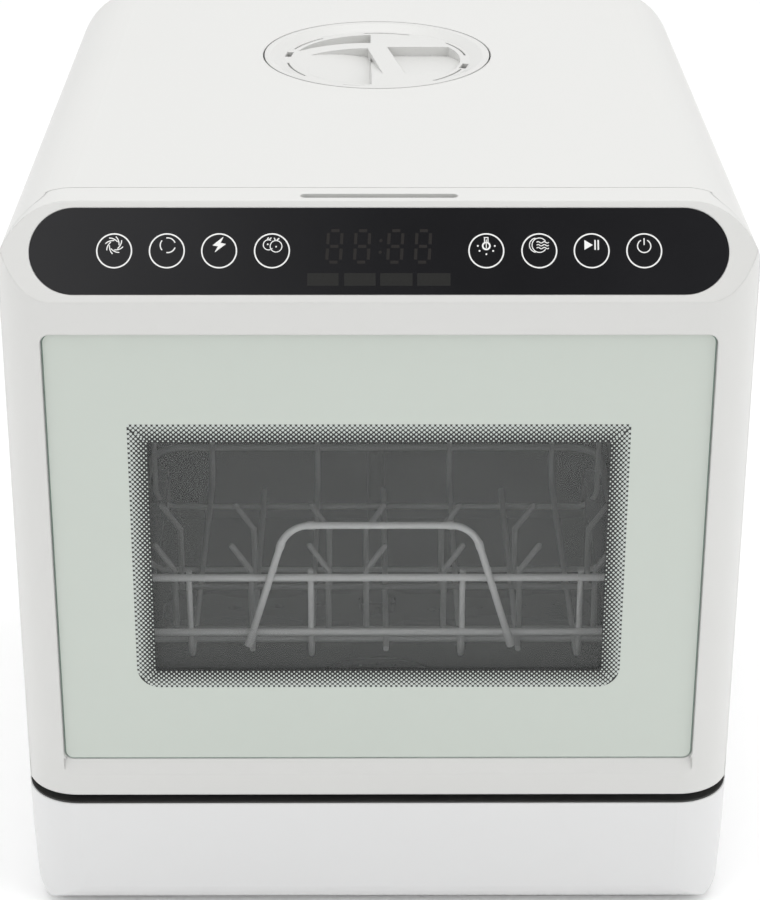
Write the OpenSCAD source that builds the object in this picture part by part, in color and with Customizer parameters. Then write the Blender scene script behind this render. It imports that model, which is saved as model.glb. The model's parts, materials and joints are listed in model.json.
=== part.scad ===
// Countertop dishwasher: drop-down glass door, wire rack, two spray arms, lift-off fill cap.
// Millimetres, +Z up, front towards -Y. Modules draw from the front face (y = 0) backwards.

/* [Body] */
// overall width
body_w = 420; // [380:1:460]
// overall depth
body_d = 445; // [420:1:480]
// overall height
body_h = 441; // [425:1:470]
// radius of the two long upper edges
edge_r = 40; // [20:1:45]
// radius of the upright front corners
front_r = 32; // [20:1:36]
// radius of the upright back corners
back_r = 24; // [12:1:30]
// draft of the side walls towards the back, degrees
side_draft = 1; // [0:0.1:1.5]
// wall of the mouldings
wall = 3; // [2:0.5:4]

/* [Plinth] */
// top of the plinth above the worktop
base_h = 74; // [70:1:80]
// plinth wall slope on the sides, degrees
base_taper = 4; // [1:0.5:6]
// radius of the plinth's lower edge
base_r = 13; // [4:1:14]
// rubber foot height under the plinth
foot_h = 2; // [1:0.5:4]
// rubber foot radius
foot_r = 13; // [8:1:18]

/* [Door] */
// open gap between plinth and door
gap_h = 6.4; // [5:0.2:9]
// depth of the door at its sides
door_d = 20.5; // [18:0.5:24]
// depth of the console on top of the door
console_d = 53.5; // [48:0.5:60]
// height where the sloping console starts
slope_z = 394.6; // [385:0.2:400]
// slope of the console from horizontal, degrees
slope_a = 55; // [48:1:62]
// radius of the shoulder under the console
shoulder_r = 33; // [28:0.5:36]
// play between door and cabinet
seam = 0.4; // [0.3:0.1:1]
// hinge axis behind the front face
hinge_y = 9.5; // [9:0.5:12]
// hinge axis above the worktop
hinge_z = 87; // [86:0.5:90]
// hinge pin radius
pin_r = 3; // [2:0.5:4]
// running play of a pin in its bore, radial
run_play = 0.05; // [0.02:0.01:0.1]

/* [Glass] */
// width of the front glass
glass_w = 368; // [340:1:376]
// height of the front glass
glass_h = 271; // [240:1:280]
// lower edge of the front glass
glass_z = 104; // [98:1:112]
// thickness of the front glass
glass_t = 4; // [3:0.5:5]
// how deep the glass sits behind the frame
glass_in = 3; // [2:0.5:4]
// corner radius of the glass
glass_r = 5; // [3:1:12]
// gap around the glass
glass_gap = 0.6; // [0.4:0.1:1.5]

/* [Console] */
// length of the touch panel
panel_w = 379; // [340:1:384]
// height of the touch panel along the slope
panel_h = 48; // [36:1:50]
// start of the touch panel along the slope
panel_s = 4.6; // [3:0.2:8]
// thickness of the touch panel
panel_t = 1.5; // [1:0.1:2]
// length of the finger slot
grip_w = 86; // [60:1:120]
// opening of the finger slot
grip_o = 6; // [5:0.5:9]
// finger slot behind the front face
grip_y = 40.5; // [38:0.5:42]

/* [Wash chamber] */
// inner width of the tub
tub_w = 336; // [320:1:340]
// inner back wall of the tub
tub_y1 = 328; // [310:1:332]
// floor of the tub
tub_z0 = 96; // [92:1:100]
// ceiling of the tub
tub_z1 = 366; // [355:1:368]
// wall of the tub
tub_t = 2; // [1.5:0.5:3]

/* [Rack] */
// outer width of the rack
rack_w = 310; // [280:1:314]
// front of the rack
rack_y0 = 50; // [48:1:60]
// back of the rack
rack_y1 = 310; // [260:1:312]
// floor wires of the rack
rack_z0 = 138; // [136:1:150]
// upper rail of the rack
rack_z1 = 197.8; // [180:0.2:220]
// radius of the rail wires
rail_r = 2.25; // [1.5:0.25:3]
// radius of the floor wires and tines
wire_r = 1.75; // [1.25:0.25:2.5]
// height of the rack handle's top
handle_z = 235; // [215:1:250]

/* [Spray arms] */
// spray arm reach
arm_r = 138; // [120:1:139]
// spray arm width
arm_w = 34; // [26:1:44]
// spray arm thickness
arm_t = 10; // [8:1:12]
// spray arm axis behind the front face
arm_y = 171; // [170:1:172]
// radius of the spray arm's pivot
pivot_r = 7; // [5:0.5:9]

/* [Fill cap] */
// diameter of the fill cap
cap_d = 143; // [120:1:150]
// fill cap centre behind the front face
cap_y = 303; // [298:1:308]
// thickness of the fill cap
cap_t = 16; // [12:1:18]
// play around the fill cap
cap_gap = 1; // [0.5:0.1:1.5]

/* [Output] */
// node to draw

/* [Hidden] */
$fn = 96;
door_z0 = base_h + gap_h;
door_h = glass_z + glass_h;
tub_y0 = 30;
mouth_w = tub_w - 6;
mouth_z0 = tub_z0 + 2;
mouth_z1 = tub_z1 - 2;
frame_y = 27.5;
frame_t = 2.5;
shelf_z = tub_z1 + 8;
cowl_y = console_d + 2.5;
shoulder_z = body_h - 36;
cap_r = cap_d / 2;
cap_z = body_h - cap_t;
well_r = cap_r + cap_gap;
spout_y = cap_y + 54;
spout_r = 13;
liner_y = 19.2;
liner_t = 3;
rail_top = rack_z0 - 12.3;
lower_z = tub_z0 + 6;
upper_z = tub_z1 - 30;
pump_z = 34;
tank_y0 = tub_y1 + 11;
tank_y1 = body_d - 16;
rear_z0 = base_h + 12;
rear_z1 = body_h - 46;
rear_w = 352;
screw_spots = [
  for (x = [-150, -75, 0, 75, 150]) [x, 95],
  for (x = [-183, 183]) for (z = [160, 250, 350]) [x, z]
];
weld = 0.02;
wire_fn = 24;
filter_y = 88;

// ---------- placing and outline helpers ----------

module at_front() {
  translate([0, -body_d / 2, 0]) children();
}

module both_sides() {
  children();
  mirror([1, 0, 0]) children();
}

// a (y, z) profile drawn across x0..x1
module across(x0, x1) {
  translate([x0, 0, 0]) rotate([90, 0, 90]) linear_extrude(x1 - x0) children();
}

// an (x, z) profile drawn from y0 to y1
module along(y0, y1) {
  translate([0, y1, 0]) rotate([90, 0, 0]) linear_extrude(y1 - y0) children();
}

module box(x0, x1, y0, y1, z0, z1) {
  translate([x0, y0, z0]) cube([x1 - x0, y1 - y0, z1 - z0]);
}

module rod_x(x0, x1, y, z, r) {
  translate([x0, y, z]) rotate([0, 90, 0]) cylinder(r = r, h = x1 - x0);
}

module rod_y(y0, y1, x, z, r) {
  translate([x, y0, z]) rotate([-90, 0, 0]) cylinder(r = r, h = y1 - y0);
}

module rod_z(z0, z1, x, y, r) {
  translate([x, y, z0]) cylinder(r = r, h = z1 - z0);
}

// square with round corners, drawn from its lower left corner
module round_rect(w, h, r) {
  translate([r, 0]) square([w - 2 * r, h]);
  translate([0, r]) square([w, h - 2 * r]);
  for (x = [r, w - r]) for (y = [r, h - r]) translate([x, y]) circle(r = r);
}

// centre x of an upright corner of radius r at depth y
function corner_x(y, r) = body_w / 2 - y * tan(side_draft) - r / cos(side_draft);

// plan of the body, inset by t, sides drafted towards the back
module plan_outline(t = 0) {
  cf = corner_x(front_r, front_r);
  cb = corner_x(body_d - back_r, back_r);
  rf = front_r - t;
  rb = back_r - t;
  fx = cf + rf * cos(side_draft);
  fy = front_r + rf * sin(side_draft);
  bx = cb + rb * cos(side_draft);
  by = body_d - back_r + rb * sin(side_draft);
  polygon([
    [-cf, t], [cf, t], [fx, fy], [bx, by], [cb, body_d - t],
    [-cb, body_d - t], [-bx, by], [-fx, fy]
  ]);
  for (s = [-1, 1]) {
    translate([s * cf, front_r]) circle(r = rf);
    translate([s * cb, body_d - back_r]) circle(r = rb);
  }
}

// one side of the body: round upper edge, drawn along the drafted side wall
module edge_prism(t = 0) {
  translate([body_w / 2, 0, 0]) rotate([0, 0, side_draft])
    along(-30, body_d + 30) {
      translate([-body_w - 60, -5]) square([body_w + 60 - edge_r, body_h - t + 5]);
      translate([-edge_r - 5, -5]) square([edge_r + 5 - t, body_h - edge_r + 5]);
      translate([-edge_r, body_h - edge_r]) circle(r = edge_r - t);
    }
}

module body_solid(t, z0, z1) {
  intersection() {
    edge_prism(t);
    mirror([1, 0, 0]) edge_prism(t);
    translate([0, 0, z0]) linear_extrude(z1 - z0) plan_outline(t);
  }
}

// everything in front of the seam, as a (y, z) profile
module door_zone(play = 0) {
  difference() {
    union() {
      translate([-60, -20]) square([60 + door_d + play, shoulder_z + 20]);
      translate([-60, shoulder_z]) square([60 + console_d + play, 80]);
    }
    translate([console_d + seam, shoulder_z]) circle(r = shoulder_r + seam - play);
  }
}

// room at the foot of the side walls, where the door's lower edge swings round the hinge
module hinge_room() {
  reach = norm([door_d - hinge_y, hinge_z - door_z0]);
  translate([hinge_y, hinge_z]) circle(r = reach + seam);
  polygon([
    [door_d, base_h - 2], [frame_y, base_h - 2],
    [frame_y, base_h + 1.4], [door_d, base_h + 7]
  ]);
}

// part of the sloping console cut away in front
module slope_cut(t = 0) {
  dy = t * sin(slope_a);
  dz = -t * cos(slope_a);
  polygon([
    [dy - 40 * cos(slope_a), slope_z + dz - 40 * sin(slope_a)],
    [dy + 90 * cos(slope_a), slope_z + dz + 90 * sin(slope_a)],
    [dy - 90, slope_z + dz + 90 * sin(slope_a)],
    [dy - 90, slope_z + dz - 40 * sin(slope_a)]
  ]);
}

module on_slope() {
  translate([0, 0, slope_z]) rotate([slope_a, 0, 0]) children();
}

module stadium(w, h) {
  square([w - h, h], center = true);
  for (s = [-1, 1]) translate([s * (w - h) / 2, 0]) circle(r = h / 2);
}

module screw(r, h) {
  difference() {
    cylinder(r = r, h = h);
    translate([0, 0, h - 0.8]) cube([r * 1.3, 0.9, 2], center = true);
    translate([0, 0, h - 0.8]) cube([0.9, r * 1.3, 2], center = true);
  }
}

// ---------- cabinet ----------

module outer_wrap() {
  color("white") at_front() difference() {
    body_solid(0, base_h, body_h + 1);
    body_solid(wall, base_h - 1, body_h + 1);
    across(-body_w, body_w) {
      door_zone(seam);
      hinge_room();
    }
    along(body_d - 20, body_d + 20)
      translate([-rear_w / 2, rear_z0]) round_rect(rear_w, rear_z1 - rear_z0, 14);
    rod_z(body_h - 20, body_h + 5, 0, cap_y, well_r);
  }
}

module rear_cover() {
  play = 0.4;
  w = rear_w - 2 * play;
  h = rear_z1 - rear_z0 - 2 * play;
  color("gainsboro") at_front() difference() {
    union() {
      along(body_d - 3, body_d)
        translate([-w / 2, rear_z0 + play]) round_rect(w, h, 13.6);
      along(body_d - 24, body_d - 2) translate([-128, rear_z0 + 10]) round_rect(256, 56, 8);
    }
    along(body_d - 21.5, body_d + 1) translate([-125.5, rear_z0 + 12.5]) round_rect(251, 51, 6);
    for (i = [0 : 11]) along(body_d - 8, body_d + 2)
      translate([64, 196 + 11 * i]) round_rect(84, 4.5, 2.2);
    for (i = [0 : 5]) along(body_d - 8, body_d + 2)
      translate([-148, 196 + 11 * i]) round_rect(60, 4.5, 2.2);
    for (x = [-90, 20]) rod_y(body_d - 30, body_d - 15, x, rear_z0 + 38, 12.3);
    rod_y(body_d - 30, body_d - 15, 95, rear_z0 + 38, 9.3);
    for (x = [-166, 166]) for (z = [rear_z0 + 12, rear_z1 - 14])
      rod_y(body_d - 1.5, body_d + 2, x, z, 4.6);
  }
}

module plinth_front(t) {
  k = tan(base_taper);
  r = base_r - t;
  cz = foot_h + base_r;
  cx = body_w / 2 - (base_h - cz) * k - base_r / cos(base_taper);
  tx = body_w / 2 - t / cos(base_taper) + 12 * k;
  sx = cx + r * cos(base_taper);
  sz = cz - r * sin(base_taper);
  polygon([
    [-cx, foot_h + t], [cx, foot_h + t], [sx, sz], [tx, base_h + 12],
    [-tx, base_h + 12], [-sx, sz]
  ]);
  for (s = [-1, 1]) translate([s * cx, cz]) circle(r = r);
}

module plinth_side(t) {
  r = base_r - t;
  translate([t, foot_h + base_r]) square([body_d - 2 * t, base_h + 20]);
  translate([base_r, foot_h + t]) square([body_d - base_r - t, base_h]);
  translate([base_r, foot_h + base_r]) circle(r = r);
}

module plinth_solid(t, z0, z1) {
  intersection() {
    translate([0, 0, z0]) linear_extrude(z1 - z0) plan_outline(t);
    along(-10, body_d + 10) plinth_front(t);
    across(-body_w, body_w) plinth_side(t);
  }
}

module base_plinth() {
  color("white") at_front() difference() {
    plinth_solid(0, foot_h, base_h);
    plinth_solid(wall, foot_h + wall, base_h - wall);
    box(-150, 150, 35, tub_y1, base_h - 10, base_h + 5);
    translate([0, 0, -1]) linear_extrude(foot_h + 6) intersection() {
      plan_outline(16);
      translate([-body_w / 2 + 26, 0]) square([body_w - 52, body_d]);
    }
    both_sides() for (i = [0 : 8])
      box(190, 230, 300 + 11 * i, 305 + 11 * i, 26, 52);
  }
}

module base_pan() {
  color("dimgray") at_front() difference() {
    union() {
      translate([0, 0, foot_h + 0.4]) linear_extrude(2.6) intersection() {
        plan_outline(16.4);
        translate([-body_w / 2 + 26.4, 0]) square([body_w - 52.8, body_d]);
      }
      for (x = [-150, 150]) box(x - 1, x + 1, 70, 345, foot_h + 2.5, foot_h + 6);
      box(-150, 150, 344, 346, foot_h + 2.5, foot_h + 6);
    }
    for (i = [0 : 9]) box(-100, -40, 250 + 9 * i, 254 + 9 * i, -5, 20);
    for (x = [-165, 165]) for (y = [60, 385]) rod_z(-5, 20, x, y, 3.2);
  }
}

module rubber_feet() {
  color("black") at_front() for (x = [-150, 150]) for (y = [48, 400]) {
    rod_z(0, foot_h + 0.4, x, y, foot_r);
    translate([x, y, 0.9]) rotate_extrude() translate([foot_r, 0]) circle(r = 0.8);
  }
}

module gap_trim() {
  color("black") at_front() intersection() {
    linear_extrude(base_h + 1.5) plan_outline(0.6);
    box(-body_w / 2, body_w / 2, 0, frame_y - 0.2, base_h, base_h + 1);
  }
}

// the moulded frame behind the door, with the shelf under the console
module front_frame() {
  color("dimgray") at_front() difference() {
    intersection() {
      body_solid(wall + 0.3, base_h, body_h + 1);
      across(-body_w, body_w) {
        translate([frame_y, base_h]) square([frame_t, shelf_z + frame_t - base_h]);
        translate([frame_y, shelf_z]) square([cowl_y + frame_t - frame_y, frame_t]);
        translate([cowl_y, shelf_z]) square([frame_t, body_h]);
      }
    }
    along(frame_y - 5, frame_y + 10)
      translate([-mouth_w / 2, mouth_z0]) round_rect(mouth_w, mouth_z1 - mouth_z0, 16);
    box(-10, 10, cowl_y - 2, cowl_y + 6, 391, 411);
    for (s = [-1, 1]) for (z = [150, 230, 340])
      rod_y(frame_y - 1, frame_y + 1, s * 190, z, 3.6);
  }
}

module door_gasket() {
  r = 20;
  color("black") at_front() difference() {
    along(liner_y + liner_t + 0.4, frame_y)
      translate([-mouth_w / 2 - 10, mouth_z0 - 10])
        round_rect(mouth_w + 20, mouth_z1 - mouth_z0 + 18, r);
    along(0, frame_y + 5)
      translate([-mouth_w / 2 - 3, mouth_z0 - 3])
        round_rect(mouth_w + 6, mouth_z1 - mouth_z0 + 6, r - 4);
    along(frame_y - 3.4, frame_y - 1.8) difference() {
      translate([-mouth_w / 2 - 11, mouth_z0 - 11])
        round_rect(mouth_w + 22, mouth_z1 - mouth_z0 + 20, r);
      translate([-mouth_w / 2 - 7, mouth_z0 - 7])
        round_rect(mouth_w + 14, mouth_z1 - mouth_z0 + 13, r - 3);
    }
  }
}

module tub() {
  w = tub_w + 2 * tub_t;
  color("silver") at_front() difference() {
    union() {
      along(tub_y0, tub_y1 + tub_t)
        translate([-w / 2, tub_z0 - tub_t]) round_rect(w, tub_z1 - tub_z0 + 2 * tub_t, 18);
      for (x = [-168, 154]) for (y = [52, 296]) box(x, x + 14, y, y + 14, base_h, tub_z0 - 1);
      for (s = [-1, 1]) for (y = [100, 180, 260])
        box(s * w / 2 - 3, s * w / 2 + 3, y, y + 6, tub_z0 + 30, tub_z1 - 30);
    }
    along(tub_y0 - 1, tub_y1)
      translate([-tub_w / 2, tub_z0]) round_rect(tub_w, tub_z1 - tub_z0, 16);
    rod_z(tub_z0 - 10, tub_z0 + 5, 0, filter_y, 47);
    rod_z(tub_z0 - 10, tub_z0 + 5, 0, arm_y, 11);
    rod_z(tub_z0 - 10, tub_z0 + 5, 0, tub_y1 - 9, 6.2);
    rod_y(tub_y1 - 5, tub_y1 + 10, 118, 330, 20);
    rod_x(tub_w / 2 - 5, tub_w / 2 + 8, 150, 320, 12);
  }
}

module sump_bowl() {
  z = tub_z0 - tub_t;
  color("gray") at_front() difference() {
    union() {
      rod_z(44, z, 0, filter_y, 52);
      rod_z(z - 4, z, 0, filter_y, 58);
      rod_x(-62, -40, filter_y, 56, 8);
      box(-6, 6, filter_y + 40, arm_y - 22.1, 44, 54);
      rod_z(foot_h + 3, 46, -30, filter_y, 5);
      rod_z(foot_h + 3, 46, 30, filter_y, 5);
    }
    rod_z(47, tub_z0 - 3.2, 0, filter_y, 44.5);
    rod_z(tub_z0 - 3.3, z + 1, 0, filter_y, 47.2);
    rod_x(-70, -40, filter_y, 56, 6);
    box(-4, 4, filter_y + 40, arm_y - 20, 46, 52);
  }
}

module filter_plate() {
  color("silver") at_front() difference() {
    union() {
      rod_z(tub_z0 - 3, tub_z0 - 1, 0, filter_y, 46.6);
      rod_z(tub_z0 - 3, tub_z0 + 0.8, 0, filter_y, 30);
    }
    rod_z(tub_z0 - 10, tub_z0 + 5, 0, filter_y, 26.4);
    for (a = [0 : 15 : 345]) translate([0, filter_y, 0]) rotate([0, 0, a])
      for (r = [34, 39.5]) rod_z(tub_z0 - 10, tub_z0 + 5, r, 0, 1.7);
  }
}

module filter_cup() {
  z0 = 54;
  z1 = tub_z0 + 2.4;
  color("steelblue") at_front() translate([0, filter_y, 0]) difference() {
    union() {
      rod_z(z0, z1 - 1, 0, 0, 26);
      rod_z(tub_z0 + 1.1, z1, 0, 0, 29);
    }
    rod_z(z0 + 2, z1 + 1, 0, 0, 24);
    for (a = [0 : 30 : 330]) rotate([0, 0, a])
      for (z = [62 : 8 : 86]) rod_x(20, 32, 0, z, 2.2);
    for (a = [0 : 60 : 300]) rotate([0, 0, a]) rod_z(z0 - 1, z0 + 5, 15, 0, 3);
  }
  color("steelblue") at_front() translate([0, filter_y, 0]) {
    box(-25, 25, -1.5, 1.5, z1 - 9, z1 + 2.4);
    box(-1.5, 1.5, -25, 25, z1 - 9, z1 - 4);
  }
}

module arm_post() {
  color("gray") at_front() translate([0, arm_y, 0]) difference() {
    union() {
      rod_z(pump_z + 24.3, tub_z0 - tub_t, 0, 0, 15);
      rod_z(tub_z0 - tub_t - 0.1, lower_z - 0.3, 0, 0, 10.7);
      rod_z(tub_z0, lower_z - 0.3, 0, 0, 17);
      rod_z(lower_z - 1, lower_z + arm_t + 5, 0, 0, pivot_r);
    }
    rod_z(pump_z + 24, lower_z + arm_t + 1, 0, 0, 4);
    for (a = [0, 90]) rotate([0, 0, a]) rod_x(-12, 12, 0, lower_z + arm_t / 2, 2);
  }
}

module feed_pipe() {
  y1 = tub_y1 - 9;
  z1 = tub_z1 - 12;
  r = 6;
  b = 16;
  color("gray") at_front() {
    rod_z(64, z1 - b, 0, y1, r);
    translate([0, y1, 64]) sphere(r = r + 0.5);
    translate([0, y1 - b, z1 - b]) rotate([90, 0, 90]) rotate_extrude(angle = 90)
      translate([b, 0]) circle(r = r);
    rod_y(arm_y, y1 - b, 0, z1, r);
    rod_z(upper_z + arm_t + 0.3, z1 + 7, 0, arm_y, 10);
    rod_z(upper_z - 5, z1, 0, arm_y, pivot_r);
    rod_y(arm_y + 15.3, y1, 0, 64, r);
    for (z = [180, 290]) box(-9, 9, y1 + 3, tub_y1, z, z + 8);
  }
}

module rack_rails() {
  x1 = tub_w / 2;
  color("gray") at_front() both_sides() difference() {
    union() {
      box(x1 - 24, x1, 34, tub_y1 - 4, rail_top - 4, rail_top);
      box(x1 - 4, x1, 34, tub_y1 - 4, rail_top - 13.5, rail_top + 16);
      box(x1 - 24, x1, tub_y1 - 8, tub_y1 - 4, rail_top - 4, rail_top + 10);
    }
    for (i = [0 : 5]) box(x1 - 11, x1 - 6, 52 + 44 * i, 82 + 44 * i, rail_top - 5, rail_top + 1);
  }
}

module chamber_lamp() {
  color("white") at_front() {
    rod_x(tub_w / 2 - 2, tub_w / 2 + 10, 150, 320, 11.7);
    rod_x(tub_w / 2 - 2, tub_w / 2, 150, 320, 15);
  }
}

module wash_pump() {
  y = arm_y;
  color("dimgray") at_front() difference() {
    union() {
      rod_x(-16, 16, y, pump_z, 24);
      rod_x(15, 24, y, pump_z, 17);
      rod_x(23, 88, y, pump_z, 25);
      rod_x(88, 98, y, pump_z, 12);
      rod_x(-30, -15, y, pump_z, 9);
      box(30, 36, y - 18, y + 18, foot_h + 3, pump_z);
      box(74, 80, y - 18, y + 18, foot_h + 3, pump_z);
      box(-6, 6, y - 12, y + 12, foot_h + 3, pump_z);
    }
    for (i = [0 : 5]) for (s = [-1, 1])
      box(36 + 8 * i, 40 + 8 * i, y - 30, y + 30, pump_z + s * 15 - 2, pump_z + s * 15 + 2);
  }
}

module heater_can() {
  color("silver") at_front() {
    rod_y(arm_y - 52, arm_y + 52, -56, pump_z - 4, 19);
    rod_y(arm_y + 52, arm_y + 64, -56, pump_z - 4, 8);
    rod_y(arm_y - 64, arm_y - 52, -56, pump_z - 4, 8);
    rod_x(-40, -30.2, arm_y, pump_z, 9);
    for (y = [arm_y - 40, arm_y + 34]) box(-70, -42, y, y + 6, foot_h + 3, 20);
    for (s = [-1, 1]) rod_z(pump_z + 14, pump_z + 24, -56, arm_y + s * 20, 3);
  }
}

module drain_pump() {
  color("dimgray") at_front() {
    rod_x(-110, -78, filter_y, pump_z, 22);
    rod_x(-78.5, -62.4, filter_y, 56, 8);
    rod_x(-140, -110, filter_y, pump_z, 16);
    rod_z(pump_z, 57, -84, filter_y, 6);
    box(-106, -82, filter_y - 14, filter_y + 14, foot_h + 3, pump_z);
    box(-136, -128, filter_y - 12, filter_y + 12, foot_h + 3, pump_z);
  }
}

module power_board() {
  color("darkgreen") at_front() {
    box(112, 172, 130, 290, 20, 21.6);
    for (x = [116, 168]) for (y = [134, 286]) rod_z(foot_h + 3, 20.2, x, y, 3);
  }
  color("dimgray") at_front() {
    box(118, 146, 150, 178, 21.5, 44);
    box(150, 168, 140, 160, 21.5, 36);
    box(120, 164, 196, 204, 21.5, 40);
    for (i = [0 : 3]) box(120 + 11 * i, 128 + 11 * i, 216, 226, 21.5, 38);
    rod_z(21.5, 48, 130, 250, 9);
    rod_z(21.5, 42, 154, 256, 7);
  }
}

module water_tank() {
  x0 = -180;
  x1 = 62;
  z0 = rear_z0 + 70;
  z1 = tub_z1 + 12;
  color("whitesmoke") at_front() difference() {
    union() {
      along(tank_y0, tank_y1 - 8)
        translate([x0, z0]) round_rect(x1 - x0, z1 - z0, 12);
      rod_z(z1 - 2, z1 + 10, 0, spout_y, spout_r + 2.6);
      for (z = [z0 + 50, z0 + 110, z0 + 160]) box(x0 + 12, x1 - 12, tank_y1 - 9, tank_y1 - 6, z, z + 4);
      rod_z(z0 - 8, z0 + 2, 30, 380, 8);
      box(x0 + 20, x0 + 32, tank_y0 + 10, tank_y1 - 20, base_h, z0 + 1);
      box(x1 - 32, x1 - 20, tank_y0 + 10, tank_y0 + 24, base_h, z0 + 1);
    }
    along(tank_y0 + 2.5, tank_y1 - 10.5)
      translate([x0 + 2.5, z0 + 2.5]) round_rect(x1 - x0 - 5, z1 - z0 - 5, 10);
    rod_z(z1 - 8, z1 + 12, 0, spout_y, spout_r + 0.4);
    rod_z(z0 - 10, z0 + 8, 30, 380, 5);
  }
}

module fill_funnel() {
  z0 = cap_z - 20;
  color("gainsboro") at_front() difference() {
    union() {
      rod_z(z0, body_h - wall - 0.2, 0, cap_y, well_r + 3.5);
      rod_z(body_h - wall - 3.2, body_h - wall - 0.2, 0, cap_y, well_r + 9);
      rod_z(tub_z1 + 20, z0 + 1, 0, spout_y, spout_r);
      for (a = [45 : 90 : 315]) translate([0, cap_y, 0]) rotate([0, 0, a])
        box(well_r + 2, well_r + 8, -1, 1, z0 + 4, body_h - wall - 1);
    }
    rod_z(cap_z - 0.3, body_h + 5, 0, cap_y, well_r);
    rod_z(z0 + 3, body_h + 5, 0, cap_y, cap_r - 4.9);
    rod_z(z0 - 60, z0 + 10, 0, spout_y, spout_r - 2.5);
    for (x = [-9 : 6 : 9]) rod_z(z0 - 5, z0 + 5, x, cap_y + 20, 1.6);
  }
}

module level_sensor() {
  color("dimgray") at_front() {
    box(-168, -140, tank_y0 - 5, tank_y0, 250, 290);
    rod_z(238, 251, -154, tank_y0 - 3.5, 3);
  }
}

module inlet_valve() {
  z = rear_z0 + 38;
  y0 = body_d - 24;
  color("white") at_front() difference() {
    union() {
      rod_y(y0 - 26, body_d - 6, -90, z, 12);
      for (i = [0 : 3]) rod_y(body_d - 15 + 2.4 * i, body_d - 13.8 + 2.4 * i, -90, z, 13);
      box(-106, -74, y0 - 30, y0 - 0.3, z - 14, z + 14);
      rod_z(z + 13, z + 30, -90, y0 - 16, 11);
      rod_z(base_h, z - 13, -90, y0 - 16, 6);
    }
    rod_y(y0 + 6, body_d + 5, -90, z, 9);
  }
}

module drain_fitting() {
  z = rear_z0 + 38;
  y0 = body_d - 24;
  color("gray") at_front() difference() {
    union() {
      rod_y(y0 - 22, body_d - 4, 20, z, 9);
      for (i = [0 : 2]) translate([20, body_d - 6 - 5 * i, z]) rotate([90, 0, 0])
        cylinder(r1 = 9.2, r2 = 10.8, h = 4);
      rod_y(y0 - 4, y0 - 0.3, 20, z, 16);
      rod_z(base_h, z, 20, y0 - 16, 7);
    }
    rod_y(y0 - 30, body_d + 5, 20, z, 6.5);
  }
}

module cable_gland() {
  z = rear_z0 + 38;
  y0 = body_d - 24;
  color("black") at_front() difference() {
    union() {
      rod_y(y0 - 14, body_d - 6, 95, z, 9);
      rod_y(y0 + 2.8, y0 + 9, 95, z, 13);
      rod_y(y0 - 6, y0 - 0.3, 95, z, 13);
      translate([95, y0 + 13, z]) rotate([90, 0, 0]) rotate_extrude()
        translate([9, 0]) circle(r = 1.4);
    }
    rod_y(y0 - 20, body_d + 5, 95, z, 4);
  }
}

module fan_case() {
  y0 = tub_y1 + tub_t;
  color("dimgray") at_front() translate([118, 0, 330]) rod_y(y0 + 21, y0 + 33.5, 0, 0, 2.9);
  color("dimgray") at_front() translate([118, 0, 330]) difference() {
    union() {
      rod_y(y0, y0 + 8, 0, 0, 23);
      rod_y(y0 + 7, y0 + 36, 0, 0, 42);
      box(-6, 42, y0 + 7, y0 + 36, -70, 0);
      for (s = [-1, 1]) rod_y(y0 + 30, body_d - 3, s * 29, 29, 5);
    }
    rod_y(y0 - 2, y0 + 12, 0, 0, 19);
    rod_y(y0 + 10, y0 + 33, 0, 0, 39);
    box(-3, 39, y0 + 10, y0 + 33, -75, 0);
    for (a = [0 : 60 : 300]) rotate([0, a, 0]) rod_y(y0 + 30, y0 + 40, 24, 0, 8);
  }
}

module fan_rotor() {
  y0 = tub_y1 + tub_t;
  color("lightgray") at_front() translate([118, 0, 330]) difference() {
    union() {
      rod_y(y0 + 13, y0 + 32, 0, 0, 8);
      rod_y(y0 + 30, y0 + 32, 0, 0, 34);
      for (a = [0 : 24 : 336]) rotate([0, a, 0]) translate([28, y0 + 14, 0])
        rotate([0, 30, 0]) cube([1.4, 17, 11], center = false);
    }
    rod_y(y0 + 20, y0 + 40, 0, 0, 2.95);
  }
}

module hinge_brackets() {
  x0 = 176;
  x1 = 183;
  color("silver") at_front() both_sides() difference() {
    union() {
      rod_x(x0, x1, hinge_y, hinge_z, 4.5);
      box(x0, x1, hinge_y, frame_y - 2, hinge_z - 4.5, hinge_z + 4.5);
      box(x0, x1 + 11, frame_y - 2.4, frame_y, hinge_z - 8, hinge_z + 34);
    }
    rod_x(x0 - 5, x1 + 5, hinge_y, hinge_z, pin_r + run_play);
    for (z = [hinge_z + 15, hinge_z + 27]) rod_y(frame_y - 5, frame_y + 2, 187, z, 2.1);
  }
}

module hinge_pins() {
  color("silver") at_front() both_sides() {
    rod_x(167.6, 188.6, hinge_y, hinge_z, pin_r);
  }
}

module latch_strike() {
  y0 = cowl_y + frame_t;
  color("silver") at_front() difference() {
    box(-16, 16, y0, y0 + 18, 386, 416);
    box(-10, 10, y0 - 2, y0 + 16, 390, 412);
    for (s = [-1, 1]) rod_y(y0 + 10, y0 + 25, s * 13, 401, 1.4);
  }
}

module rear_screws() {
  color("silver") at_front() for (x = [-166, 166]) for (z = [rear_z0 + 12, rear_z1 - 14])
    translate([x, body_d - 1.5, z]) rotate([-90, 0, 0]) screw(4.2, 1.3);
}

module base_screws() {
  color("silver") at_front() for (x = [-165, 165]) for (y = [60, 385]) {
    translate([x, y, foot_h + 0.4]) mirror([0, 0, 1]) screw(4.8, 1.2);
    rod_z(foot_h + 0.3, foot_h + 3.6, x, y, 2.9);
  }
}

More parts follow.
